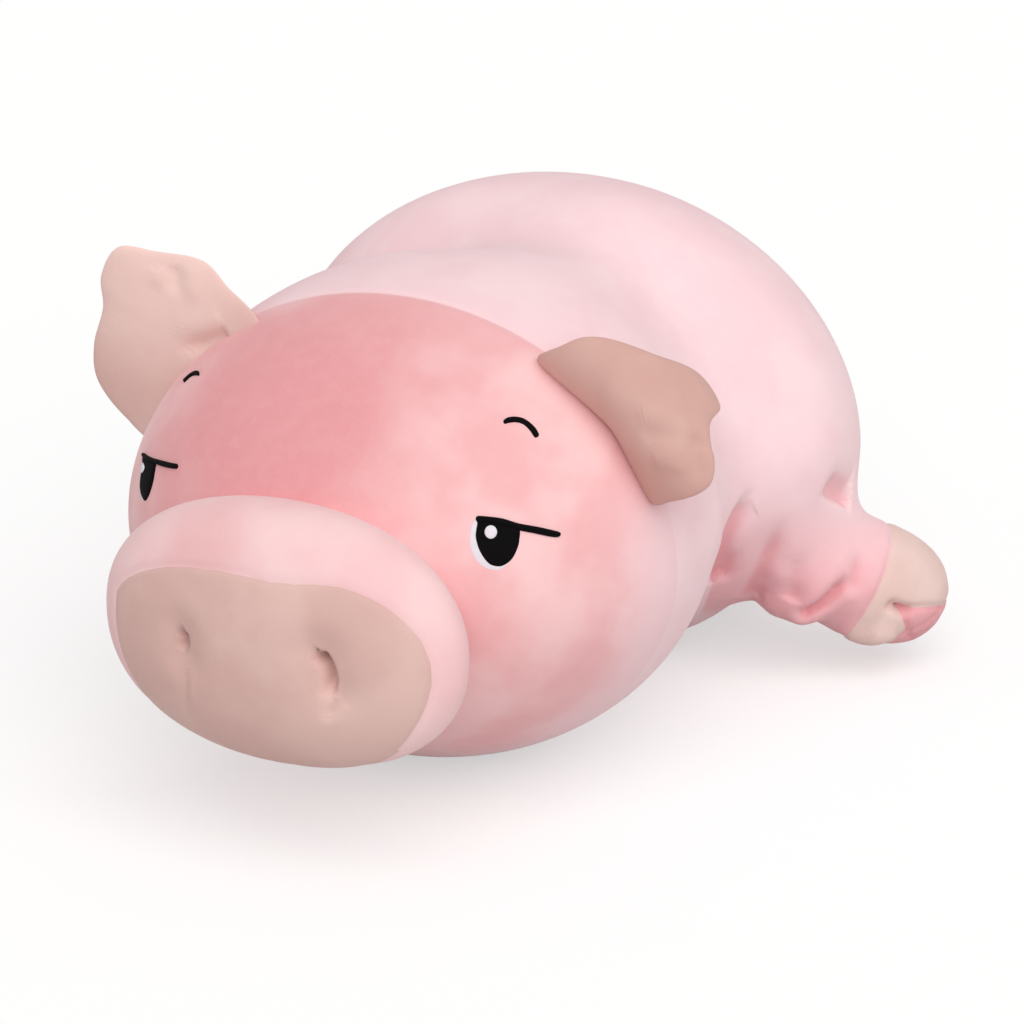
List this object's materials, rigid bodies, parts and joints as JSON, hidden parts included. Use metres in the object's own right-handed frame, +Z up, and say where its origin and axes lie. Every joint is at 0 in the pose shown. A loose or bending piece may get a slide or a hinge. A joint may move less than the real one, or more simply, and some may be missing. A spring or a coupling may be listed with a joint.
{
  "type": "plush pig",
  "caption": "Plump plush pig cushion lying on its belly, with a broad snout, half-closed embroidered eyes, folded ears, short limbs and a curly tail; used to lean on or hug.",
  "frame": {"origin": "centre of the bounding box's bottom face, on the floor that the pig lies on", "axes": "+Z up, -Y the way the nose points, +X the pig's left side"},
  "size_m": [0.4544, 0.5742, 0.282],
  "materials": {
    "pale_pink_plush": "short-pile velour, matt",
    "deep_pink_plush": "short-pile velour, matt",
    "beige_plush": "short-pile velour, matt",
    "white_filling": "loose polyester fibre filling",
    "black_thread": "satin-stitched embroidery",
    "white_thread": "satin-stitched embroidery",
    "beige_thread": "sewing thread"
  },
  "bodies": {
    "torso": {"torso_skin": "pale_pink_plush", "torso_stuffing": "white_filling", "face_panel": "deep_pink_plush", "crown_panel": "pale_pink_plush", "head_stuffing": "white_filling", "snout_gusset": "pale_pink_plush", "snout_face": "beige_plush", "snout_stuffing": "white_filling", "nostril_thread_left": "beige_thread", "nostril_thread_right": "beige_thread", "brow_left": "black_thread", "brow_right": "black_thread", "eye_left_highlight": "white_thread", "eye_left_lid": "black_thread", "eye_left_pupil": "black_thread", "eye_left_white": "white_thread", "eye_right_highlight": "white_thread", "eye_right_lid": "black_thread", "eye_right_pupil": "black_thread", "eye_right_white": "white_thread"},
    "arm_left": {"arm_left_hoof": "beige_plush", "arm_left_sleeve": "pale_pink_plush", "arm_left_sole": "deep_pink_plush", "arm_left_stuffing": "white_filling"},
    "arm_right": {"arm_right_hoof": "beige_plush", "arm_right_sleeve": "pale_pink_plush", "arm_right_sole": "deep_pink_plush", "arm_right_stuffing": "white_filling"},
    "leg_left": {"leg_left_hoof": "beige_plush", "leg_left_sleeve": "pale_pink_plush", "leg_left_sole": "deep_pink_plush", "leg_left_stuffing": "white_filling"},
    "leg_right": {"leg_right_hoof": "beige_plush", "leg_right_sleeve": "pale_pink_plush", "leg_right_sole": "deep_pink_plush", "leg_right_stuffing": "white_filling"},
    "ear_left": {"ear_left_front": "beige_plush", "ear_left_back": "deep_pink_plush"},
    "ear_right": {"ear_right_front": "beige_plush", "ear_right_back": "deep_pink_plush"},
    "tail": {"tail": "pale_pink_plush"}
  },
  "joints": [
    {"name": "arm_left_lift", "type": "hinge", "parent": "torso", "child": "arm_left", "pos_m": [0.17281, 0.11916, 0.10315], "axis": [0.6756, -0.7373, 0], "range_deg": [0, 40], "stiffness_Nm_per_rad": 0.3},
    {"name": "arm_right_lift", "type": "hinge", "parent": "torso", "child": "arm_right", "pos_m": [-0.17281, 0.11916, 0.10315], "axis": [0.6756, 0.7373, 0], "range_deg": [0, 40], "stiffness_Nm_per_rad": 0.3},
    {"name": "leg_left_lift", "type": "hinge", "parent": "torso", "child": "leg_left", "pos_m": [0.08158, 0.20047, 0.08585], "axis": [0.9816, -0.1908, 0], "range_deg": [0, 35], "stiffness_Nm_per_rad": 0.3},
    {"name": "leg_right_lift", "type": "hinge", "parent": "torso", "child": "leg_right", "pos_m": [-0.08158, 0.20047, 0.08585], "axis": [0.9816, 0.1908, 0], "range_deg": [0, 35], "stiffness_Nm_per_rad": 0.3},
    {"name": "ear_left_fold", "type": "hinge", "parent": "torso", "child": "ear_left", "pos_m": [0.12383, -0.1278, 0.21542], "axis": [0.6807, -0.0193, -0.7323], "range_deg": [-35, 0], "stiffness_Nm_per_rad": 0.05},
    {"name": "ear_right_fold", "type": "hinge", "parent": "torso", "child": "ear_right", "pos_m": [-0.12383, -0.1278, 0.21542], "axis": [-0.6807, -0.0193, -0.7323], "range_deg": [-25, 25], "stiffness_Nm_per_rad": 0.05},
    {"name": "tail_flex", "type": "hinge", "parent": "torso", "child": "tail", "pos_m": [0, 0.23122, 0.17194], "axis": [1, 0, 0], "range_deg": [-20, 20], "stiffness_Nm_per_rad": 0.01}
  ]
}
